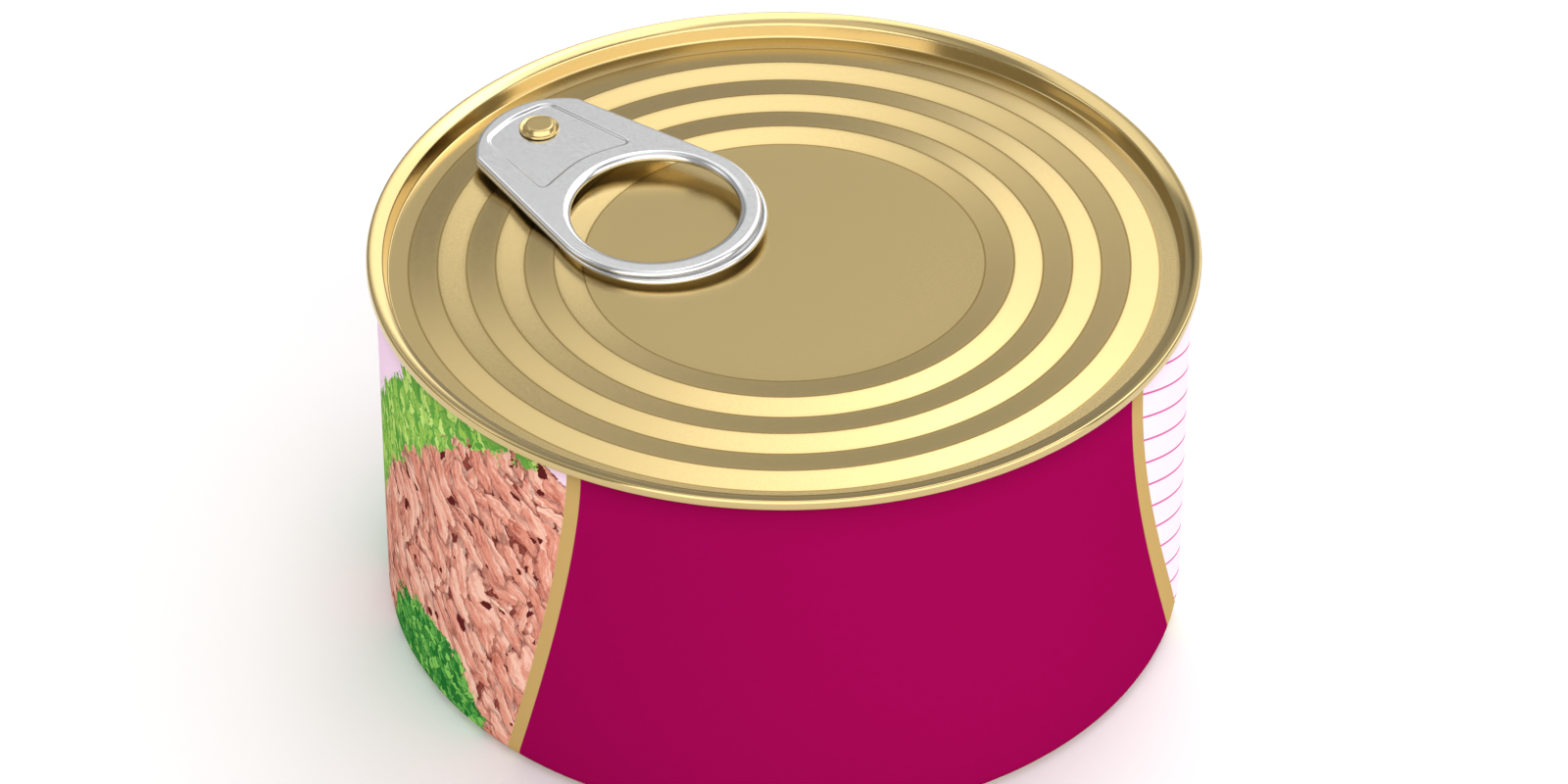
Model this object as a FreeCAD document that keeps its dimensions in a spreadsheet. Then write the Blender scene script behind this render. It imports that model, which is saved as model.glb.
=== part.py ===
import FreeCAD, Part
import math
import os
import re

import Sketcher

# A shallow two-piece food can, shut, with a pull-tab end.
# Millimetres, +Z up. The origin is on the table, under the middle of the can.
# "Disc" is the flat middle of the end; heights on the end are measured from it.

os.makedirs("parts", exist_ok=True)
document = FreeCAD.newDocument("can")


# ---------------------------------------------------------------- sizes

SIZES = {
    # drawn body
    "body_radius": 42.5,
    "body_wall": 0.4,
    "lower_edge": 2.0,
    "stand_width": 3.0,
    "stand_slope": 1.0,
    "base_recess": 1.0,
    "base_bead_reach": 27.0,
    "base_bead_width": 2.4,
    "base_bead_depth": 0.5,
    # the end: panel, stepped rings, wall and seamed rim
    "disc_height": 41.0,
    "end_gauge": 0.6,
    "ring_pitch": 3.02,
    "ring_rise": 0.32,
    "border_width": 2.14,
    "wall_inset": 1.3,
    "shoulder_inset": 0.9,
    "shoulder_height": 1.35,
    "crown_inset": 0.1,
    "rim_height": 2.05,
    "seam_lap": 0.9,
    "seam_underside": 0.95,
    "rim_round": 0.3,
    # rivet raised from the end
    "rivet_inset": 9.3,
    "rivet_turn": 141.6,
    "rivet_shank": 1.4,
    "rivet_head": 2.16,
    "rivet_head_height": 0.5,
    "boss_radius": 3.0,
    "rivet_play": 0.02,
    "shank_play": 0.15,
    # pull tab
    "tab_clearance": 0.05,
    "tab_thick": 1.2,
    "tab_heading": -45.4,
    "tab_pitch": 1.06,
    "tab_roll": 2.6,
    "tab_offset": 0.9,
    "tab_edge_round": 0.4,
    "nose_reach": 4.5,
    "nose_radius": 9.0,
    "nose_corner": 1.8,
    "nose_half_width": 7.05,
    "ring_reach": 18.8,
    "ring_radius": 11.2,
    "finger_radius": 8.9,
    "curl_shift": 0.8,
    "curl_height": 0.65,
    "panel_nose": 2.6,
    "panel_nose_half": 4.6,
    "panel_far": 8.2,
    "panel_far_half": 6.6,
    "panel_depth": 0.25,
    "panel_corner": 1.2,
    "panel_margin": 2.2,
}

RING_COUNT = 3

sheet = document.addObject("Spreadsheet::Sheet", "sizes")
for row, (name, value) in enumerate(SIZES.items(), start=1):
    sheet.set(f"A{row}", name)
    sheet.set(f"B{row}", str(value))
    sheet.setAlias(f"B{row}", name)
document.recompute()


def formula(text):
    """A formula in cell names, as an expression on the sheet."""
    return re.sub(r"\b([a-z]+(?:_[a-z]+)+)\b", r"sizes.\1", text)


def size(text):
    """The present value of a formula in cell names."""
    value = sheet.evalExpression(formula(text))
    return float(getattr(value, "Value", value))


# Radii and heights that two pieces share.
SEAT_RADIUS = "body_radius - body_wall"
SEAT_HEIGHT = "disc_height - end_gauge"
SEAM_HEIGHT = "disc_height + seam_underside"
WALL_FOOT = "body_radius - wall_inset"
RIVET_X = "(body_radius - rivet_inset) * cos(rivet_turn * 1 deg)"
RIVET_Y = "(body_radius - rivet_inset) * sin(rivet_turn * 1 deg)"

# The tab leans: TILT is its slope. At the rivet its underside is as high as
# lets the low side of its ring end clear the tops of the panel's rings.
PITCH = "sin(tab_pitch * 1 deg)"
ROLL = "sin(tab_roll * 1 deg)"
TILT = f"sqrt({PITCH} ^ 2 + {ROLL} ^ 2)"
RING_DROP = f"(ring_reach + curl_shift) * {PITCH} + tab_offset * {ROLL} + ring_radius * {TILT}"
TAB_HEIGHT = f"disc_height + ring_rise + tab_clearance + {RING_DROP}"
BOSS_TOP = f"{TAB_HEIGHT} - rivet_play - boss_radius * {TILT}"
HEAD_BASE = f"{TAB_HEIGHT} + tab_thick - panel_depth + rivet_play + rivet_head * {TILT}"


# ---------------------------------------------------------------- drawing

def new_body(label):
    body = document.addObject("PartDesign::Body", label)
    body.Label = label
    return body


def new_sketch(body, name, role):
    """A sketch on one of the body's own origin planes."""
    sketch = body.newObject("Sketcher::SketchObject", name)
    for feature in body.Origin.OriginFeatures:
        if feature.Role == role:
            sketch.AttachmentSupport = [(feature, "")]
    sketch.MapMode = "FlatFace"
    return sketch


def drive(sketch, kind, *target):
    """Add a constraint whose value is the last item, a formula."""
    *places, text = target
    index = sketch.addConstraint(Sketcher.Constraint(kind, *places, size(text)))
    sketch.setExpression(f"Constraints[{index}]", formula(text))


def fix_point(sketch, geometry, end, across, up):
    """Hold one point of a sketch at two formulas; "0" puts it on an axis."""
    for kind, axis, text in (("DistanceX", -2, across), ("DistanceY", -1, up)):
        if text == "0":
            sketch.addConstraint(Sketcher.Constraint("PointOnObject", geometry, end, axis))
        else:
            drive(sketch, kind, -1, 1, geometry, end, text)


def draw_outline(sketch, corners):
    """Straight lines round a list of (across, up) formulas, back to the first."""
    points = [FreeCAD.Vector(size(across), size(up), 0) for across, up in corners]
    count = len(points)
    for index in range(count):
        sketch.addGeometry(Part.LineSegment(points[index], points[(index + 1) % count]), False)
    for index in range(count):
        sketch.addConstraint(Sketcher.Constraint("Coincident", index, 2, (index + 1) % count, 1))
    for index, (across, up) in enumerate(corners):
        fix_point(sketch, index, 1, across, up)


def draw_circle(sketch, across, up, radius):
    centre = FreeCAD.Vector(size(across), size(up), 0)
    index = sketch.addGeometry(Part.Circle(centre, FreeCAD.Vector(0, 0, 1), size(radius)), False)
    fix_point(sketch, index, 3, across, up)
    drive(sketch, "Radius", index, radius)


# ---------------------------------------------------------------- features

def revolve(body, sketch, name):
    feature = body.newObject("PartDesign::Revolution", name)
    feature.Profile = sketch
    feature.ReferenceAxis = (sketch, ["V_Axis"])
    feature.Angle = 360
    document.recompute()
    return feature


def pad(body, sketch, name, length):
    feature = body.newObject("PartDesign::Pad", name)
    feature.Profile = sketch
    feature.setExpression("Length", formula(length))
    document.recompute()
    return feature


def lift(sketch, height):
    """Raise a sketch off its plane to a height that follows a formula."""
    sketch.setExpression("AttachmentOffset.Base.z", formula(height))
    document.recompute()


def cut_down(body, sketch, name, depth):
    """A pocket cut down from its sketch; it has to take some volume away."""
    before = body.Shape.Volume
    feature = body.newObject("PartDesign::Pocket", name)
    feature.Profile = sketch
    feature.setExpression("Length", formula(depth))
    feature.Reversed = False
    document.recompute()
    if not body.Shape.Volume < before:
        raise RuntimeError(f"{name} cuts nothing")
    return feature


def round_edges(body, name, radius, chosen):
    """Fillet the edges of the body's last feature that the test chooses."""
    tip = body.Tip
    names = [f"Edge{n}" for n, edge in enumerate(tip.Shape.Edges, start=1) if chosen(edge)]
    feature = body.newObject("PartDesign::Fillet", name)
    feature.Base = (tip, names)
    feature.setExpression("Radius", formula(radius))
    document.recompute()
    return feature


def is_level(edge, height):
    box = edge.BoundBox
    return abs(box.ZMin - size(height)) < 1e-4 and abs(box.ZMax - size(height)) < 1e-4


def is_upright(edge, length):
    box = edge.BoundBox
    return box.DiagonalLength - box.ZLength < 1e-4 and abs(box.ZLength - size(length)) < 1e-4


def is_circle(edge, radius):
    return isinstance(edge.Curve, Part.Circle) and abs(edge.Curve.Radius - size(radius)) < 1e-4


# ---------------------------------------------------------------- drawn body

def make_can_body():
    """Solid to the end's underside, with a seat that the end drops into."""
    body = new_body("can_body")
    profile = new_sketch(body, "body_profile", "XZ_Plane")
    bead_in = "base_bead_reach - base_bead_width"
    bead_out = "base_bead_reach + base_bead_width"
    stand_in = "body_radius - lower_edge - stand_width"
    draw_outline(profile, [
        ("0", "base_recess"),
        (bead_in, "base_recess"),
        ("base_bead_reach", "base_recess - base_bead_depth"),
        (bead_out, "base_recess"),
        (stand_in + " - stand_slope", "base_recess"),
        (stand_in, "0"),
        ("body_radius + 0", "0"),
        ("body_radius + 0", SEAM_HEIGHT),
        (SEAT_RADIUS, SEAM_HEIGHT),
        (SEAT_RADIUS, SEAT_HEIGHT),
        ("0", SEAT_HEIGHT),
    ])
    revolve(body, profile, "body_turned")
    round_edges(
        body, "body_lower_edge", "lower_edge",
        lambda edge: is_circle(edge, "body_radius") and is_level(edge, "0"),
    )
    return body


# ---------------------------------------------------------------- easy-open end

def end_corners():
    """The end's section: disc, stepped rings, border, wall, rim, underside."""
    corners = [("0", "disc_height + 0")]
    for step in range(2 * RING_COUNT, -1, -1):
        radius = f"{WALL_FOOT} - border_width - {step} * ring_pitch"
        height = "disc_height + ring_rise" if step % 2 else "disc_height + 0"
        corners.append((radius, height))
    corners += [
        (WALL_FOOT, "disc_height + 0"),
        ("body_radius - shoulder_inset", "disc_height + shoulder_height"),
        ("body_radius - crown_inset", "disc_height + rim_height"),
        ("body_radius + seam_lap", "disc_height + rim_height"),
        ("body_radius + seam_lap", SEAM_HEIGHT),
        (SEAT_RADIUS, SEAM_HEIGHT),
        (SEAT_RADIUS, SEAT_HEIGHT),
        ("0", SEAT_HEIGHT),
    ]
    return corners


def make_easy_open_end():
    """One sheet-metal pressing: panel, rings, rim and the rivet drawn up from it."""
    body = new_body("easy_open_end")
    profile = new_sketch(body, "end_profile", "XZ_Plane")
    draw_outline(profile, end_corners())
    revolve(body, profile, "end_turned")
    round_edges(
        body, "rim_edges", "rim_round",
        lambda edge: is_circle(edge, "body_radius + seam_lap")
        or is_circle(edge, "body_radius - crown_inset"),
    )
    root = "disc_height - end_gauge / 2"
    for name, radius, start, stop in (
        ("boss", "boss_radius", root, BOSS_TOP),
        ("shank", "rivet_shank", root, HEAD_BASE),
        ("head", "rivet_head", HEAD_BASE, f"{HEAD_BASE} + rivet_head_height"),
    ):
        sketch = new_sketch(body, f"{name}_circle", "XY_Plane")
        draw_circle(sketch, RIVET_X, RIVET_Y, radius)
        lift(sketch, start)
        pad(body, sketch, f"rivet_{name}", f"({stop}) - ({start})")
    return body


# ---------------------------------------------------------------- pull tab

def draw_tab_outline(sketch):
    """Ring end, two straight sides and a rounded nose, all tangent in turn."""
    reach, ring = size("ring_reach"), size("ring_radius")
    half, corner = size("nose_half_width"), size("nose_corner")
    nose, nose_centre = size("nose_radius"), size("nose_radius - nose_reach")
    taper = math.asin((ring - half) / reach)
    side = FreeCAD.Vector(-math.sin(taper), math.cos(taper), 0)
    along = FreeCAD.Vector(math.cos(taper), math.sin(taper), 0)
    ring_centre = FreeCAD.Vector(reach, 0, 0)
    axis = FreeCAD.Vector(0, 0, 1)

    # The corner's centre is a corner radius inside the side, and the
    # difference of the two radii from the nose's centre.
    foot = side * (half - corner)
    offset = foot - FreeCAD.Vector(nose_centre, 0, 0)
    run = offset.dot(along)
    back = run + math.sqrt(run ** 2 - offset.dot(offset) + (nose - corner) ** 2)
    corner_centre = foot - along * back
    nose_middle = FreeCAD.Vector(nose_centre, 0, 0)
    outward = (corner_centre - nose_middle).normalize()

    def mirrored(vector):
        return FreeCAD.Vector(vector.x, -vector.y, 0)

    def arc(centre, radius, start, end):
        first = math.atan2(start.y, start.x)
        last = math.atan2(end.y, end.x)
        return Part.ArcOfCircle(Part.Circle(centre, axis, radius), first, last)

    sketch.addGeometry([
        arc(ring_centre, ring, mirrored(side), side),
        Part.LineSegment(ring_centre + side * ring, corner_centre + side * corner),
        arc(corner_centre, corner, side, outward),
        arc(nose_middle, nose, outward, mirrored(outward)),
        arc(mirrored(corner_centre), corner, mirrored(outward), mirrored(side)),
        Part.LineSegment(
            mirrored(corner_centre + side * corner), mirrored(ring_centre + side * ring)
        ),
    ], False)
    ends = [(0, 2, 1, 1), (1, 2, 2, 1), (2, 2, 3, 1), (3, 2, 4, 1), (4, 2, 5, 1), (5, 2, 0, 1)]
    for joint in ends:
        sketch.addConstraint(Sketcher.Constraint("Tangent", *joint))
    fix_point(sketch, 0, 3, "ring_reach + 0", "0")
    fix_point(sketch, 3, 3, "nose_radius - nose_reach", "0")
    drive(sketch, "Radius", 0, "ring_radius + 0")
    drive(sketch, "Radius", 3, "nose_radius + 0")
    for index in (2, 4):
        drive(sketch, "Radius", index, "nose_corner + 0")
    for index in (1, 5):
        drive(sketch, "Distance", -1, 1, index, "nose_half_width + 0")


def make_pull_tab():
    """Blanked and curled strip: a ring for the finger and a riveted nose."""
    body = new_body("pull_tab")
    curl = new_sketch(body, "curl_circle", "XY_Plane")
    draw_circle(curl, "ring_reach + curl_shift", "0", "ring_radius + 0")
    pad(body, curl, "end_curl", "curl_height")
    round_edges(body, "end_curl_round", "curl_height * 0.45",
                lambda edge: is_circle(edge, "ring_radius"))

    outline = new_sketch(body, "tab_outline", "XY_Plane")
    draw_tab_outline(outline)
    pad(body, outline, "tab_plate", "tab_thick")
    round_edges(body, "tab_top_edge", "tab_edge_round",
                lambda edge: is_level(edge, "tab_thick"))

    finger = new_sketch(body, "finger_circle", "XY_Plane")
    draw_circle(finger, "ring_reach + 0", "0", "finger_radius + 0")
    lift(finger, "tab_thick + 1")
    cut_down(body, finger, "finger_hole", "tab_thick + 2")
    round_edges(body, "finger_hole_edges", "tab_edge_round",
                lambda edge: is_circle(edge, "finger_radius"))

    panel = new_sketch(body, "panel_outline", "XY_Plane")
    draw_outline(panel, [
        ("-panel_nose", "-panel_nose_half"),
        ("panel_far + 0", "-panel_far_half"),
        ("ring_reach - finger_radius - panel_margin", "0"),
        ("panel_far + 0", "panel_far_half + 0"),
        ("-panel_nose", "panel_nose_half + 0"),
    ])
    lift(panel, "tab_thick + 0")
    cut_down(body, panel, "pressed_panel", "panel_depth")
    round_edges(body, "panel_corners", "panel_corner",
                lambda edge: is_upright(edge, "panel_depth"))

    hole = new_sketch(body, "rivet_circle", "XY_Plane")
    draw_circle(hole, "0", "tab_offset + 0", "rivet_shank + shank_play")
    lift(hole, "tab_thick + 0")
    cut_down(body, hole, "rivet_hole", "tab_thick")
    return body


def place_tab(tab):
    """Thread the tab's hole on the rivet, turned, pitched and rolled a little."""
    turn = FreeCAD.Rotation(size("tab_heading + 0"), size("tab_pitch + 0"), size("tab_roll + 0"))
    rivet = FreeCAD.Vector(size(RIVET_X), size(RIVET_Y), size(TAB_HEIGHT))
    hole = turn.multVec(FreeCAD.Vector(0, size("tab_offset + 0"), 0))
    tab.Placement = FreeCAD.Placement(rivet - hole, turn)


# ---------------------------------------------------------------- build and write

pieces = [make_can_body(), make_easy_open_end(), make_pull_tab()]
place_tab(pieces[-1])
document.recompute()

for item in document.Objects:
    if "Invalid" in item.State or "Error" in item.State:
        raise RuntimeError(f"{item.Label} failed: {item.State}")

for piece in pieces:
    shape = piece.Shape
    if shape.isNull() or not shape.isValid() or len(shape.Solids) != 1:
        raise RuntimeError(f"{piece.Label} is not one valid solid")
    shape.exportStep(f"parts/{piece.Label}.step")
    box = shape.BoundBox
    print(f"{piece.Label}: {shape.Volume:.1f} mm3,"
          f" x {box.XMin:.2f} {box.XMax:.2f}, y {box.YMin:.2f} {box.YMax:.2f},"
          f" z {box.ZMin:.2f} {box.ZMax:.2f}")
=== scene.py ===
import math

import bmesh
import bpy
from mathutils import Euler, Matrix, Vector


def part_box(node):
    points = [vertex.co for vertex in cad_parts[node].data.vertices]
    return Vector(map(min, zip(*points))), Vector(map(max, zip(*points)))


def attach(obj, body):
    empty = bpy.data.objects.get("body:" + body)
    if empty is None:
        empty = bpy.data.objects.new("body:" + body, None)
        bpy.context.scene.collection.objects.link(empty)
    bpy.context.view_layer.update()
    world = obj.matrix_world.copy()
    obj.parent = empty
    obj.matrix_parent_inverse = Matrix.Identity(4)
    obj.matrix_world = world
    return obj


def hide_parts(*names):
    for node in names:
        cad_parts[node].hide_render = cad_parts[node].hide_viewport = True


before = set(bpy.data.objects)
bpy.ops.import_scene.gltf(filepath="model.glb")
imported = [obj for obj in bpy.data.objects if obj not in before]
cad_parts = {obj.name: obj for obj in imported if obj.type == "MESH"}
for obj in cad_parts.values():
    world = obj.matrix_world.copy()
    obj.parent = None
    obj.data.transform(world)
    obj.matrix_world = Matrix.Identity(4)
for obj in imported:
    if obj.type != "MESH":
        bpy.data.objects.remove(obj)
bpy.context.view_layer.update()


# ---------------------------------------------------------------- camera
# It stands in front of the can, and looks down over the lid to about the
# middle of the can.

MM = 0.001
disc_height = 41.0
camera_back = 549.7
camera_above_disc = 400.3
camera_dip = 37.22

camera_data = bpy.data.cameras.new("camera")
camera_data.lens = 150
camera_data.sensor_width = 36
camera = bpy.data.objects.new("camera", camera_data)
camera.location = (0, -camera_back * MM, (disc_height + camera_above_disc) * MM)
camera.rotation_euler = (math.radians(90 - camera_dip), 0, 0)
bpy.context.collection.objects.link(camera)
bpy.context.scene.camera = camera


# ---------------------------------------------------------------- printed can body
# Deep-drawn tinplate, one piece with its base: a round shell that stands on a
# ring, with a bead in the recessed base. Its wall was printed flat in several
# inks and varnished before it was drawn.

body_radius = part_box("can_body")[1][0] / MM
body_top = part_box("can_body")[1][2] / MM
body_wall = 0.4
lower_edge = 2.0
stand_width = 3.0
stand_slope = 1.0
stand_round = 0.3
base_recess = 1.0
bead_radius = 27.0
bead_half = 2.4
bead_depth = 0.5
bead_round = 0.8
end_depth = 0.6
seat_height = disc_height - end_depth

CRIMSON = "#8F0648"
BORDER_GOLD = "#B8995F"
LILAC = "#EBD9EA"
LILAC_SHADE = "#EFD2E6"
STRIPE_PINK = "#C8588F"
FLAKE = "#D68F7A"
FLAKE_LIGHT = "#EABCA8"
FLAKE_SHADE = "#AA5C4C"
FLAKE_GAP = "#5C2020"
HERB = "#98C056"
HERB_LIGHT = "#C0DA78"
HERB_DARK = "#579640"
PARSLEY = "#569E48"
PARSLEY_LIGHT = "#86C45C"
PARSLEY_DARK = "#20692C"
TINPLATE = "#C6B084"


def linear(hex_colour):
    """An sRGB hex value as the linear colour that a shader takes."""
    parts = [int(hex_colour[i:i + 2], 16) / 255 for i in (1, 3, 5)]
    return [p / 12.92 if p <= 0.04045 else ((p + 0.055) / 1.055) ** 2.4 for p in parts] + [1]


def add(tree, kind, inputs=(), **settings):
    """Add a node with its settings; an input is a value or the socket that feeds it."""
    node = tree.nodes.new("ShaderNode" + kind)
    for name, value in settings.items():
        setattr(node, name, value)
    for name, value in dict(inputs).items():
        if isinstance(value, bpy.types.NodeSocket):
            tree.links.new(value, node.inputs[name])
        else:
            node.inputs[name].default_value = value
    return node.outputs


def new_material(name, **sockets):
    """A Principled material; the sockets given here are the same all over."""
    material = bpy.data.materials.new(name)
    material.use_nodes = True
    shader = material.node_tree.nodes["Principled BSDF"]
    for socket, value in sockets.items():
        shader.inputs[socket.replace("_", " ")].default_value = value
    return material, material.node_tree, shader


def finish_piece(mesh, name, material, flats=()):
    """Turn a bmesh, in millimetres, into a smooth piece that rides on the can."""
    for face in mesh.faces:
        face.smooth = True
    for face in flats:
        face.smooth = False
    bmesh.ops.scale(mesh, vec=(MM, MM, MM), verts=mesh.verts)
    data = bpy.data.meshes.new(name)
    mesh.to_mesh(data)
    mesh.free()
    data.materials.append(material)
    piece = bpy.data.objects.new(name, data)
    bpy.context.collection.objects.link(piece)
    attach(piece, "root")
    return piece


def turn_profile(corners, steps, longest=0.8):
    """Spin a section about Z. Each corner is a radius, a height and how far its
    rounding reaches along both lines. Lines over the longest length are cut up."""
    mesh = bmesh.new()
    points = [mesh.verts.new((radius, 0, height)) for radius, height, reach in corners]
    for first, second in zip(points, points[1:]):
        mesh.edges.new((first, second))
    for point, (radius, height, reach) in zip(points, corners):
        if reach:
            bmesh.ops.bevel(mesh, geom=[point], offset=reach, offset_type="OFFSET",
                            segments=5, profile=0.5, affect="VERTICES", material=-1)
    long_edges = [edge for edge in mesh.edges if edge.calc_length() > longest]
    bmesh.ops.subdivide_edges(mesh, edges=long_edges, cuts=5)
    bmesh.ops.spin(mesh, geom=mesh.verts[:] + mesh.edges[:], cent=(0, 0, 0), axis=(0, 0, 1),
                   angle=math.tau, steps=steps, use_merge=True)
    bmesh.ops.remove_doubles(mesh, verts=mesh.verts, dist=0.0005)
    bmesh.ops.recalc_face_normals(mesh, faces=mesh.faces)
    return mesh


def printed_tinplate():
    """Flat inks on bright tin under a matt varnish: even, full colour with no gloss to
    see. The foot and the base were left unprinted, and are bare metal."""
    material, tree, shader = new_material(
        "printed_tinplate", Roughness=0.4, Specular_IOR_Level=0.0)

    # Millimetres round the wall from the front, and down from the disc's height.
    place = add(tree, "SeparateXYZ", {0: add(tree, "TexCoord")["Object"]})
    forward = add(tree, "Math", {0: place[1], 1: -1.0}, operation="MULTIPLY")[0]
    angle = add(tree, "Math", {0: place[0], 1: forward}, operation="ARCTAN2")[0]
    across = add(tree, "Math", {0: angle, 1: body_radius}, operation="MULTIPLY")[0]
    down = add(tree, "Math", {0: place[2], 1: -1 / MM, 2: disc_height},
               operation="MULTIPLY_ADD")[0]
    depth = add(tree, "Math", {0: down, 1: 0.0}, operation="MAXIMUM")[0]
    flat = add(tree, "CombineXYZ", {0: across, 1: down})[0]
    curve_depth = 40.0

    def inside_curve(position, at_top, lean, bend):
        """How far the position is past a curved edge: where that is at the top, how far
        it leans by the foot, and how late it bends."""
        share = add(tree, "Math", {0: depth, 1: curve_depth}, operation="DIVIDE")[0]
        leaning = add(tree, "Math", {0: share, 1: bend}, operation="POWER")[0]
        edge = add(tree, "Math", {0: leaning, 1: lean, 2: at_top}, operation="MULTIPLY_ADD")[0]
        return add(tree, "Math", {0: position, 1: edge}, operation="SUBTRACT")[0]

    def print_over(under, ink, inside, blur=0.06):
        """Lay an ink over what is under it, where it is inside its own edge."""
        cover = add(tree, "MapRange", {0: inside, 1: 0.0, 2: blur},
                    interpolation_type="SMOOTHSTEP")[0]
        return add(tree, "Mix", {0: cover, 6: under, 7: ink}, data_type="RGBA")[2]

    # The picture is left of the crimson panel, and ends alike at both sides.
    picture_middle = -62.0
    aside = add(tree, "Math", {0: across, 1: picture_middle}, operation="SUBTRACT")[0]
    aside = add(tree, "Math", {0: aside}, operation="ABSOLUTE")[0]
    folded = add(tree, "Math", {0: aside, 1: picture_middle}, operation="ADD")[0]

    # Pink lines slope down to the right, and meet themselves round the can.
    line_gap = 3.0
    line_half = 0.17
    line_start = 0.18
    gaps_per_turn = 45
    line_slope = gaps_per_turn * line_gap / (math.tau * body_radius)
    stripe = add(tree, "Math", {0: across, 1: -line_slope, 2: down}, operation="MULTIPLY_ADD")[0]
    stripe = add(tree, "Math", {0: stripe, 1: line_start}, operation="ADD")[0]
    stripe = add(tree, "Math", {0: stripe, 1: line_gap / 2}, operation="PINGPONG")[0]
    stripe = add(tree, "Math", {0: line_half, 1: stripe}, operation="SUBTRACT")[0]
    lines = print_over(linear(LILAC), linear(STRIPE_PINK), stripe, blur=0.08)

    # Flakes lie one way but wander, and their ends are frayed. Each pattern has the
    # size of its patches and how far it pushes the flakes aside.
    wander_size = 11.111
    wander_reach = 6.0
    fray_size = 0.8333
    fray_reach = 0.9
    wander = add(tree, "TexNoise", {"Vector": flat, "Scale": 1 / wander_size, "Detail": 1.0},
                 noise_dimensions="2D")["Color"]
    bent = add(tree, "VectorMath", {0: wander, 1: (wander_reach, wander_reach, 0.0), 2: flat},
               operation="MULTIPLY_ADD")[0]
    fray = add(tree, "TexNoise", {"Vector": flat, "Scale": 1 / fray_size, "Detail": 3.0},
               noise_dimensions="2D")["Color"]
    bent = add(tree, "VectorMath", {0: fray, 1: (fray_reach, fray_reach, 0.0), 2: bent},
               operation="MULTIPLY_ADD")[0]

    # Shares of a flake's size, and then the size of its fibres in millimetres.
    flake_radius = 0.40
    shade_width = 0.13
    shade_strength = 0.42
    fibre_length = 2.2
    fibre_width = 0.42
    fibre_shift = 40.0

    def lay_flakes(below, seed, turn, length, width):
        """Long flakes of cooked fish over what lies below, each with its own tone,
        rounded and fibrous, and shading what is just round it."""
        laid = add(tree, "Mapping", {"Vector": bent, "Location": (seed, seed * 1.7, 0),
                                     "Rotation": (0, 0, math.radians(turn)),
                                     "Scale": (length, width, 1)}, vector_type="TEXTURE")[0]
        cell = add(tree, "TexVoronoi", {"Vector": laid, "Scale": 1.0}, voronoi_dimensions="2D")
        tone = add(tree, "SeparateColor", {0: cell["Color"]})[0]
        offset = add(tree, "VectorMath", {0: laid, 1: cell["Position"]}, operation="SUBTRACT")[0]
        lower_side = add(tree, "SeparateXYZ", {0: offset})[1]
        strands = (length / fibre_length, width / fibre_width, 0.0)
        strand = add(tree, "VectorMath", {0: laid, 1: strands}, operation="MULTIPLY")[0]
        strand = add(tree, "VectorMath", {0: cell["Color"], 1: (fibre_shift, fibre_shift, 0.0),
                                          2: strand}, operation="MULTIPLY_ADD")[0]
        fibre = add(tree, "TexNoise", {"Vector": strand, "Scale": 1.0, "Detail": 4.0,
                                       "Roughness": 0.6}, noise_dimensions="2D")[0]
        light = add(tree, "Math", {0: tone, 1: 0.5, 2: -0.5}, operation="MULTIPLY_ADD")[0]
        light = add(tree, "Math", {0: fibre, 1: 1.9, 2: light}, operation="MULTIPLY_ADD")[0]
        light = add(tree, "Math", {0: lower_side, 1: -0.7, 2: light}, operation="MULTIPLY_ADD")[0]
        flake = print_over(linear(FLAKE_SHADE), linear(FLAKE), light, blur=0.6)
        bright = add(tree, "Math", {0: light, 1: 0.55}, operation="SUBTRACT")[0]
        flake = print_over(flake, linear(FLAKE_LIGHT), bright, blur=0.6)
        inside = add(tree, "Math", {0: flake_radius, 1: cell["Distance"]},
                     operation="SUBTRACT")[0]
        near = add(tree, "Math", {0: inside, 1: shade_width}, operation="ADD")[0]
        shade = add(tree, "Mix", {0: shade_strength, 6: below, 7: linear(FLAKE_GAP)},
                    data_type="RGBA")[2]
        below = print_over(below, shade, near, blur=shade_width)
        return print_over(below, flake, inside, blur=0.05)

    # The heap from the bottom up, the biggest flakes last: a seed, the way that the
    # layer lies in degrees, and a flake's length and width.
    fish = add(tree, "Mix", {0: 0.5, 6: linear(FLAKE_GAP), 7: linear(FLAKE_SHADE)},
               data_type="RGBA")[2]
    heap = [(3, 30, 3.0, 1.3), (11, 100, 3.6, 1.4), (23, 60, 4.4, 1.6),
            (37, 85, 5.2, 1.9), (51, 38, 6.2, 2.2), (67, 66, 8.6, 3.0)]
    for seed, turn, length, width in heap:
        fish = lay_flakes(fish, seed, turn, length, width)
    hole_spacing = 2.381
    hole_level = 0.73
    hole = add(tree, "TexNoise", {"Vector": bent, "Scale": 1 / hole_spacing, "Detail": 1.0},
               noise_dimensions="2D")[0]
    hole = add(tree, "Math", {0: hole, 1: hole_level}, operation="SUBTRACT")[0]
    fish = print_over(fish, linear(FLAKE_GAP), hole, blur=0.02)

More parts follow.
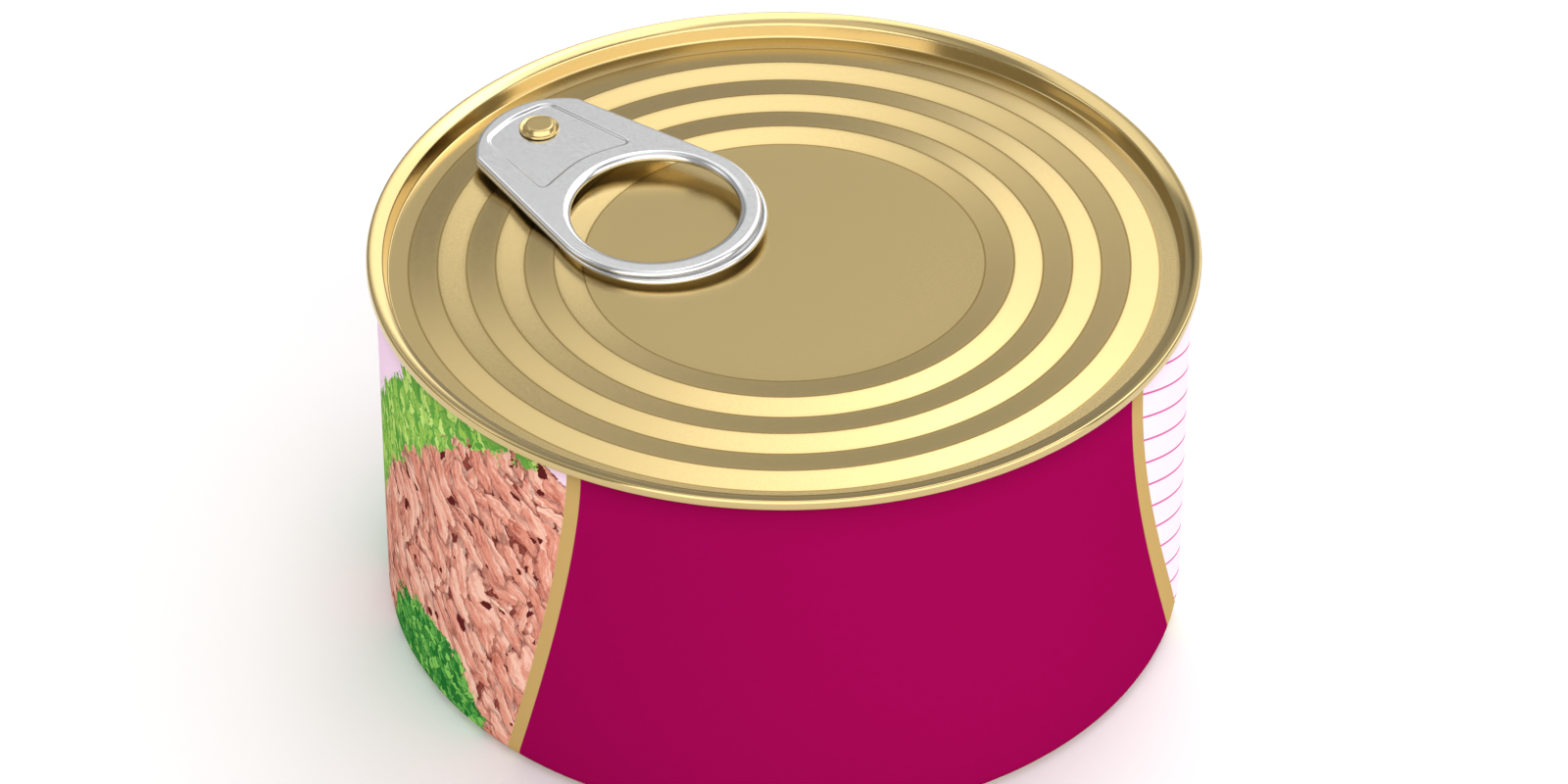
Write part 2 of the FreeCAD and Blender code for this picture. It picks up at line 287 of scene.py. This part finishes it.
    def leaf_field(turn, length, width, curl, dark, plain, light):
        """Leaves as bent cells, each with its own green, dark where they meet."""
        curl_size = 1.1111
        curled = add(tree, "TexNoise", {"Vector": flat, "Scale": 1 / curl_size, "Detail": 3.0},
                     noise_dimensions="2D")["Color"]
        curled = add(tree, "VectorMath", {0: curled, 1: (curl, curl, 0.0), 2: flat},
                     operation="MULTIPLY_ADD")[0]
        laid = add(tree, "Mapping", {"Vector": curled, "Rotation": (0, 0, math.radians(turn)),
                                     "Scale": (length, width, 1)}, vector_type="TEXTURE")[0]
        cell = add(tree, "TexVoronoi", {"Vector": laid, "Scale": 1.0}, voronoi_dimensions="2D")
        vein = add(tree, "TexVoronoi", {"Vector": laid, "Scale": 1.0},
                   voronoi_dimensions="2D", feature="DISTANCE_TO_EDGE")["Distance"]
        tone = add(tree, "SeparateColor", {0: cell["Color"]})[0]
        green = print_over(linear(dark), linear(plain), tone, blur=0.6)
        bright = add(tree, "Math", {0: tone, 1: 0.55}, operation="SUBTRACT")[0]
        green = print_over(green, linear(light), bright, blur=0.35)
        return print_over(linear(dark), green, vein, blur=0.14)

    herb = leaf_field(turn=74, length=2.2, width=0.7, curl=1.7,
                      dark=HERB_DARK, plain=HERB, light=HERB_LIGHT)
    parsley = leaf_field(turn=60, length=1.0, width=0.7, curl=1.6,
                         dark=PARSLEY_DARK, plain=PARSLEY, light=PARSLEY_LIGHT)

    # The fields of the picture end in ragged edges, some rougher than others.
    tuft_size = 2.2222
    soft_edge = 0.25
    ragged = add(tree, "TexNoise", {"Vector": flat, "Scale": 1 / tuft_size, "Detail": 5.0,
                                    "Roughness": 0.7}, noise_dimensions="2D")[0]
    ragged = add(tree, "Math", {0: ragged, 1: 0.5}, operation="SUBTRACT")[0]

    def straight_edge(at_front, slope, rough):
        """How far a place is above a line across the picture: how deep that is when
        carried on to the front, how it slopes, and how rough it is."""
        edge = add(tree, "Math", {0: folded, 1: slope, 2: at_front}, operation="MULTIPLY_ADD")[0]
        edge = add(tree, "Math", {0: ragged, 1: rough, 2: edge}, operation="MULTIPLY_ADD")[0]
        return add(tree, "Math", {0: edge, 1: down}, operation="SUBTRACT")[0]

    # Herbs hang from the rim, lower towards the picture's middle, and a sprig
    # of parsley stands at the foot.
    herb_end = -24.0
    herb_least = 0.3
    herb_growth = 0.0188
    herb_rough = 9.0
    hang = add(tree, "Math", {0: folded, 1: herb_end}, operation="SUBTRACT")[0]
    hang = add(tree, "Math", {0: hang, 1: hang}, operation="MULTIPLY")[0]
    hang = add(tree, "Math", {0: hang, 1: herb_growth, 2: herb_least},
               operation="MULTIPLY_ADD")[0]
    hang = add(tree, "Math", {0: ragged, 1: herb_rough, 2: hang}, operation="MULTIPLY_ADD")[0]
    hang = add(tree, "Math", {0: hang, 1: down}, operation="SUBTRACT")[0]
    picture = print_over(fish, herb, hang, blur=soft_edge)

    parsley_middle = (-46.0, 42.0, 0.0)
    parsley_radius = 11.5
    parsley_rough = 7.0
    seen = add(tree, "CombineXYZ", {0: folded, 1: down})[0]
    away = add(tree, "VectorMath", {0: seen, 1: parsley_middle}, operation="DISTANCE")["Value"]
    sprig = add(tree, "Math", {0: ragged, 1: parsley_rough, 2: parsley_radius},
                operation="MULTIPLY_ADD")[0]
    sprig = add(tree, "Math", {0: sprig, 1: away}, operation="SUBTRACT")[0]
    picture = print_over(picture, parsley, sprig, blur=soft_edge)

    # Lilac shows above the herbs at the far end, and in the corner by the border.
    far_end = straight_edge(at_front=-44.1, slope=-0.93, rough=8.0)
    picture = print_over(picture, linear(LILAC_SHADE), far_end, blur=soft_edge)
    near_corner = straight_edge(at_front=20.1, slope=0.8, rough=3.0)
    picture = print_over(picture, linear(LILAC_SHADE), near_corner, blur=soft_edge)

    # The crimson panel widens downwards between two curved gold borders.
    left_outer = inside_curve(folded, at_top=-22.77, lean=-8.95, bend=1.42)
    left_inner = inside_curve(folded, at_top=-21.14, lean=-8.95, bend=1.42)
    right_inner = inside_curve(across, at_top=41.54, lean=13.37, bend=1.78)
    right_outer = inside_curve(across, at_top=43.76, lean=15.3, bend=1.85)
    panel = add(tree, "Math", {0: across, 1: picture_middle}, operation="SUBTRACT")[0]
    panel = print_over(lines, linear(CRIMSON), panel)
    colour = print_over(picture, linear(BORDER_GOLD), left_outer)
    colour = print_over(colour, panel, left_inner)
    colour = print_over(colour, linear(BORDER_GOLD), right_inner)
    colour = print_over(colour, lines, right_outer)

    # The print stops short of the foot.
    print_depth = 40.6
    foot = add(tree, "Math", {0: down, 1: print_depth}, operation="SUBTRACT")[0]
    colour = print_over(colour, linear(TINPLATE), foot)
    bare = add(tree, "MapRange", {0: foot, 1: 0.0, 2: 0.06})[0]
    tree.links.new(colour, shader.inputs["Base Color"])
    tree.links.new(bare, shader.inputs["Metallic"])
    return material


stand_inner = body_radius - lower_edge - stand_width
shell = turn_profile([
    (0, base_recess, 0),
    (bead_radius - bead_half, base_recess, bead_round),
    (bead_radius, base_recess - bead_depth, bead_round),
    (bead_radius + bead_half, base_recess, bead_round),
    (stand_inner - stand_slope, base_recess, stand_round),
    (stand_inner, 0, stand_round),
    (body_radius, 0, lower_edge),
    (body_radius, body_top, 0),
    (body_radius - body_wall, body_top, 0),
    (body_radius - body_wall, seat_height, 0),
    (0, seat_height, 0),
], steps=256)
can_shell = finish_piece(shell, "can_shell", printed_tinplate())
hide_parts("can_body")


# ---------------------------------------------------------------- easy-open end
# Gold-lacquered steel sheet, pressed into a flat disc, three low rings and a
# steep wall, and seamed over the body's edge. The rivet is drawn up from it.

rim_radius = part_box("easy_open_end")[1][0] / MM
ring_pitch = 3.02
ring_rise = 0.32
ring_count = 3
wall_inset = 1.3
wall_foot = body_radius - wall_inset
border_width = 2.14
crease_width = 0.17
shoulder_inset = 0.85
shoulder_height = 1.6
crown_inset = 0.1
crown_slope = 0.15
rim_height = 2.05
lip_width = 0.18
lip_drop = 0.24
GOLD_LACQUER = "#CBB47E"
# Painted shade: the brown that is drawn along each crease of the rings.
PAINTED_CREASE_SHADE = "#A4884F"


def gold_lacquer():
    """Clear gold lacquer over rolled steel: a satin metal with a fine even grain,
    too fine to show, so it is drawn a quarter of a millimetre wide. Each crease of the
    rings is drawn as a thin brown line of painted shade, and the tools have
    burnished the wall and the rim brighter than the disc."""
    material, tree, shader = new_material("gold_lacquered_steel", Metallic=1.0)

    # Millimetres from the middle, and then to the nearest crease of the rings.
    place = add(tree, "TexCoord")["Object"]
    level = add(tree, "VectorMath", {0: place, 1: (1 / MM, 1 / MM, 0.0)},
                operation="MULTIPLY")[0]
    radius = add(tree, "VectorMath", {0: level}, operation="LENGTH")["Value"]
    outer_crease = wall_foot - border_width
    inward = add(tree, "Math", {0: outer_crease, 1: radius}, operation="SUBTRACT")[0]
    off_crease = add(tree, "Math", {0: inward, 1: ring_pitch / 2}, operation="PINGPONG")[0]
    off_end = add(tree, "Math", {0: inward, 1: ring_count * ring_pitch}, operation="SUBTRACT")[0]
    off_end = add(tree, "Math", {0: off_end}, operation="ABSOLUTE")[0]
    off_end = add(tree, "Math", {0: off_end, 1: ring_count * ring_pitch}, operation="SUBTRACT")[0]
    off_crease = add(tree, "Math", {0: off_crease, 1: off_end}, operation="MAXIMUM")[0]
    above = add(tree, "Math", {0: add(tree, "SeparateXYZ", {0: place})[2], 1: 1 / MM,
                               2: -disc_height - 2 * ring_rise}, operation="MULTIPLY_ADD")[0]
    off_crease = add(tree, "Math", {0: off_crease, 1: above}, operation="MAXIMUM")[0]
    # Along each crease the gold turns to a thin brown line of painted shade.
    lacquer = add(tree, "MapRange", {0: off_crease, 1: 0.0, 2: crease_width},
                  interpolation_type="SMOOTHSTEP")[0]
    lacquer = add(tree, "Mix", {0: lacquer, 6: linear(PAINTED_CREASE_SHADE), 7: linear(GOLD_LACQUER)},
                  data_type="RGBA")[2]
    tree.links.new(lacquer, shader.inputs["Base Color"])

    grain_width = 0.25
    grain = add(tree, "TexNoise", {"Vector": place, "Scale": 1 / (grain_width * MM),
                                   "Detail": 2.0})[0]
    satin = add(tree, "MapRange", {0: grain, 1: 0.3, 2: 0.7, 3: 0.19, 4: 0.25})[0]
    burnished = add(tree, "MapRange", {0: radius, 1: wall_foot - 0.1, 2: wall_foot})[0]
    roughness = add(tree, "Mix", {0: burnished, 2: satin, 3: 0.11})[0]
    bump = add(tree, "Bump", {"Height": grain, "Strength": 0.05, "Distance": 0.00005})[0]
    tree.links.new(roughness, shader.inputs["Roughness"])
    tree.links.new(bump, shader.inputs["Normal"])
    return material


end_corners = [(0, disc_height, 0)]
for crossing in range(2 * ring_count, -1, -1):
    ring_radius = wall_foot - border_width - crossing * ring_pitch
    ring_height = disc_height + (ring_rise if crossing % 2 else 0)
    end_corners.append((ring_radius, ring_height, crease_width))
end_corners += [
    (wall_foot, disc_height, 0.1),
    (body_radius - shoulder_inset, disc_height + shoulder_height, 0.15),
    (body_radius - crown_inset, disc_height + rim_height - crown_slope, 0.2),
    (rim_radius - lip_width, disc_height + rim_height, 0.1),
    (rim_radius, disc_height + rim_height - lip_drop, 0.1),
    (rim_radius, body_top, 0.2),
    (body_radius - body_wall, body_top, 0),
    (body_radius - body_wall, seat_height, 0),
    (0, seat_height, 0),
]
gold = gold_lacquer()
end_panel = finish_piece(turn_profile(end_corners, steps=256), "end_panel", gold)

# The rivet: a boss under the tab, a neck through it, and a head with a groove
# round its button. Heights go from the tab's underside.
rivet_turn = math.radians(141.6)
rivet_inset = 9.3
rivet_reach = body_radius - rivet_inset
tab_height = 42.32
tab_thick = 1.2
tab_lean = Euler((math.radians(2.6), math.radians(1.06), math.radians(-45.4)))
panel_depth = 0.25
head_gap = 0.02
boss_radius = 3.0
boss_gap = 0.16
neck_radius = 1.4
head_base = tab_thick - panel_depth + head_gap
head_radius = 2.16
head_height = 0.30
groove_radius = 1.72
groove_height = 0.08
button_radius = 1.45
button_height = 0.65
rivet_foot = Vector((math.cos(rivet_turn), math.sin(rivet_turn), 0)) * rivet_reach
rivet_foot.z = tab_height

rivet = turn_profile([
    (0, disc_height - tab_height, 0),
    (boss_radius, disc_height - tab_height, 0),
    (boss_radius, -boss_gap, 0.3),
    (neck_radius, -boss_gap, 0),
    (neck_radius, head_base, 0),
    (head_radius, head_base, 0.05),
    (head_radius, head_base + head_height, 0.14),
    (groove_radius, head_base + groove_height, 0.08),
    (button_radius, head_base + button_height, 0.14),
    (0, head_base + button_height, 0),
], steps=64)
bmesh.ops.transform(rivet, matrix=Matrix.Translation(rivet_foot), verts=rivet.verts)
end_rivet = finish_piece(rivet, "end_rivet", gold)
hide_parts("easy_open_end")
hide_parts("easy_open_end")


# ---------------------------------------------------------------- pull tab
# Aluminium strip, blanked and curled over at every edge: a ring for the finger,
# and a nose with a pressed panel that the rivet holds. A second curl stands out
# under the ring's end.

rivet_offset = 0.9
ring_reach = 18.8
tab_ring = 11.2
finger_radius = 8.9
nose_half = 7.45
nose_reach = 4.8
nose_radius = 9.0
nose_corner = 1.25
edge_round = 0.45
curl_shift = 0.8
curl_inset = 0.3
curl_half_width = 0.32
curl_half_height = 0.31
hole_round = 0.8
TAB_ALUMINIUM = "#D6D6D7"


def satin_aluminium():
    """Rolled and lightly burnished aluminium: bright and neutral, with a soft gloss on
    its flats and a grain too fine to show, so it is drawn a third of a millimetre
    wide."""
    material, tree, shader = new_material(
        "satin_aluminium", Metallic=1.0, Base_Color=linear(TAB_ALUMINIUM))
    place = add(tree, "TexCoord")["Object"]
    grain_width = 1 / 3
    grain = add(tree, "TexNoise", {"Vector": place, "Scale": 1 / (grain_width * MM),
                                   "Detail": 2.0})[0]
    roughness = add(tree, "MapRange", {0: grain, 1: 0.3, 2: 0.7, 3: 0.16, 4: 0.24})[0]
    tree.links.new(roughness, shader.inputs["Roughness"])
    return material


def arc(centre, radius, first, last, count):
    """Points on an arc; both angles are in radians, and the last point is left out."""
    for index in range(count):
        angle = first + (last - first) * index / count
        yield Vector((centre[0] + radius * math.cos(angle), centre[1] + radius * math.sin(angle), 0))


def tab_outline(grow, swell):
    """The strip's outer edge, grown outwards, with its ring end swollen lengthwise."""
    taper = math.asin((tab_ring - nose_half) / ring_reach)
    side_angle = math.pi / 2 + taper
    side = Vector((math.cos(side_angle), math.sin(side_angle)))
    along = Vector((side.y, -side.x))
    nose_middle = Vector((nose_radius - nose_reach, 0))
    foot = side * (nose_half - nose_corner)
    offset = foot - nose_middle
    run = offset.dot(along)
    back = run + math.sqrt(run ** 2 - offset.dot(offset) + (nose_radius - nose_corner) ** 2)
    corner = foot - along * back
    out = corner - nose_middle
    out_angle = math.atan2(out.y, out.x)

    points = []
    for point in arc((0, 0), 1.0, -side_angle, side_angle, 96):
        radius = tab_ring + grow + swell * max(point.x, 0)
        points.append(Vector((ring_reach, 0, 0)) + point * radius)
    points += arc(corner, nose_corner + grow, side_angle, out_angle, 8)
    points += arc(nose_middle, nose_radius + grow, out_angle, math.tau - out_angle, 24)
    points += arc((corner.x, -corner.y), nose_corner + grow, -out_angle, -side_angle, 8)
    return points


def add_loop(mesh, points, height):
    """A closed ring of edges through the points, at one height."""
    verts = [mesh.verts.new((point.x, point.y, height)) for point in points]
    return [mesh.edges.new((verts[i - 1], verts[i])) for i in range(len(verts))]


def bridge_levels(mesh, loops):
    """Join each loop to the next with a band of faces."""
    for lower, upper in zip(loops, loops[1:]):
        bmesh.ops.bridge_loops(mesh, edges=lower + upper)


tab = bmesh.new()

# Section of the outer edge from the top down: how far out, how high, how swollen.
# A rounded edge, a groove that runs in under it, and the lower curl.
outer_levels = []
for index in range(7):
    angle = math.pi / 2 * index / 6
    outer_levels.append((edge_round * (math.sin(angle) - 1),
                         tab_thick - edge_round * (1 - math.cos(angle)), 0.0))
outer_levels += [(-0.02, 0.74, 0.0), (-0.50, 0.66, 0.0), (-0.80, 0.40, 0.4), (-0.64, 0.38, 0.75)]
for index in range(11):
    angle = math.radians(150 - 240 * index / 10)
    outer_levels.append((curl_half_width * math.cos(angle) - curl_inset,
                         curl_half_height * (1 + math.sin(angle)), curl_shift))
outer_loops = [add_loop(tab, tab_outline(grow, swell), height)
               for grow, height, swell in outer_levels]
bridge_levels(tab, outer_loops)

# The finger hole's edge rolls in and under.
hole_loops = []
for index in range(13):
    angle = math.pi * index / 12
    radius = finger_radius + hole_round - hole_round * math.sin(angle)
    height = tab_thick / 2 + tab_thick / 2 * math.cos(angle)
    points = arc((ring_reach, 0), radius, 0, math.tau, 96)
    hole_loops.append(add_loop(tab, list(points), height))
bridge_levels(tab, hole_loops)

# The pressed panel, from its corners at the nose to the curve that follows the
# finger hole. Its face is then sunk in soft steps.
panel_margin = 2.2
panel_round = 1.35
panel_far = ring_reach - finger_radius - panel_margin
panel_corners = [(-2.8, -4.7), (8.4, -6.4), (panel_far, -2.8), (panel_far - 0.4, 0),
                 (panel_far + 0.2, 2.8), (9.3, 6.2), (-2.8, 4.7), (-3.6, 0)]
panel_edges = add_loop(tab, [Vector(corner) for corner in panel_corners], tab_thick)
panel_verts = list({vert for edge in panel_edges for vert in edge.verts})
bmesh.ops.bevel(tab, geom=panel_verts, offset=panel_round, offset_type="OFFSET",
                segments=6, profile=0.5, affect="VERTICES", material=-1)
panel_wires = [edge for edge in tab.edges if edge.is_wire]
panel_face = bmesh.ops.contextual_create(tab, geom=panel_wires)["faces"]
if panel_face[0].normal.z < 0:
    bmesh.ops.reverse_faces(tab, faces=panel_face)
for inset, sink in ((0.05, 0.0), (0.17, -0.12), (0.17, -0.12), (0.05, 0.0)):
    bmesh.ops.inset_region(tab, faces=panel_face, thickness=inset, depth=sink,
                           use_boundary=True, use_even_offset=True)


def fill_level(mesh, height):
    """Fill between all the open edges that lie at one height."""
    edges = [edge for edge in mesh.edges if edge.is_boundary
             and all(abs(vert.co.z - height) < 0.001 for vert in edge.verts)]
    filled = bmesh.ops.triangle_fill(mesh, edges=edges, use_beauty=True)["geom"]
    return [item for item in filled if isinstance(item, bmesh.types.BMFace)]


flats = panel_face + fill_level(tab, tab_thick) + fill_level(tab, 0.0)
bmesh.ops.recalc_face_normals(tab, faces=tab.faces)

# The tab is turned and leant, and set down with its nose on the rivet, which is a
# little off the tab's middle line.
rivet_hole = tab_lean.to_matrix() @ Vector((0, rivet_offset, 0))
tab_place = Matrix.Translation(rivet_foot - rivet_hole) @ tab_lean.to_matrix().to_4x4()
bmesh.ops.transform(tab, matrix=tab_place, verts=tab.verts)
pull_tab_strip = finish_piece(tab, "pull_tab_strip", satin_aluminium(), flats)
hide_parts("pull_tab")


# ---------------------------------------------------------------- studio
# A sheet of white paper under an even sky, with soft panels hung all round: a
# broad one in front, and smaller ones behind the can, beside it and over it.

floor_radius = 4000.0
FLOOR_WHITE = "#F4F4F4"


def white_paper():
    """A seamless sheet of matt white paper: pale, with no gloss at all."""
    return new_material("matt_white_paper", Roughness=0.9, Base_Color=linear(FLOOR_WHITE))[0]


floor_mesh = bmesh.new()
bmesh.ops.create_circle(floor_mesh, cap_ends=True, segments=64, radius=floor_radius * MM)
floor_data = bpy.data.meshes.new("floor")
floor_mesh.to_mesh(floor_data)
floor_mesh.free()
floor_data.materials.append(white_paper())
floor = bpy.data.objects.new("floor", floor_data)
bpy.context.collection.objects.link(floor)

world = bpy.data.worlds.new("studio")
bpy.context.scene.world = world
world.use_nodes = True
sky = world.node_tree
sky.nodes.clear()

# Degrees: azimuth from behind the can towards its right, and height.
direction = add(sky, "SeparateXYZ", {0: add(sky, "TexCoord")["Generated"]})
azimuth = add(sky, "Math", {0: direction[0], 1: direction[1]}, operation="ARCTAN2")[0]
azimuth = add(sky, "Math", {0: azimuth}, operation="DEGREES")[0]
height = add(sky, "Math", {0: direction[2]}, operation="ARCSINE")[0]
height = add(sky, "Math", {0: height}, operation="DEGREES")[0]


def within(value, middle, half, blur):
    """1 within half of the middle, falling softly to 0 over the blur."""
    off = add(sky, "Math", {0: value, 1: float(middle)}, operation="SUBTRACT")[0]
    off = add(sky, "Math", {0: off, 1: -180.0, 2: 180.0}, operation="WRAP")[0]
    off = add(sky, "Math", {0: off}, operation="ABSOLUTE")[0]
    return add(sky, "MapRange", {0: off, 1: half + blur, 2: half},
               interpolation_type="SMOOTHSTEP")[0]


# Each soft panel: its middle and half width round, the same upwards, how
# softly it ends each way, and how bright it is. A black flag takes light away.
soft_panels = {
    "front": (160, 58, 20, 20, 6, 5, 1.75),
    "high front": (178, 36, 55, 11, 10, 6, 1.05),
    "back right": (45, 35, 36, 16, 6, 8, 1.60),
    "top": (21, 24, 60, 11.5, 10, 7, 1.80),
    "back left": (-29, 17, 48, 8, 4, 5, 1.00),
    "left": (-88, 10, 36, 14, 6, 6, 1.00),
    "back": (-4.5, 5, 38, 7, 4, 6, 0.24),
    "black flag": (-17, 6, 36, 6, 5, 5, -0.25),
    "ceiling": (0, 180, 90, 14, 1, 12, 0.60),
}
sky_level = 0.42
light = sky_level
for around, half_width, up, half_height, side_blur, end_blur, level in soft_panels.values():
    side = within(azimuth, around, half_width, side_blur)
    end = within(height, up, half_height, end_blur)
    panel = add(sky, "Math", {0: side, 1: end}, operation="MULTIPLY")[0]
    light = add(sky, "Math", {0: panel, 1: level, 2: light}, operation="MULTIPLY_ADD")[0]
background = add(sky, "Background", {0: light, 1: 1.0})[0]
add(sky, "OutputWorld", {0: background})

bpy.context.scene.view_settings.view_transform = "Standard"
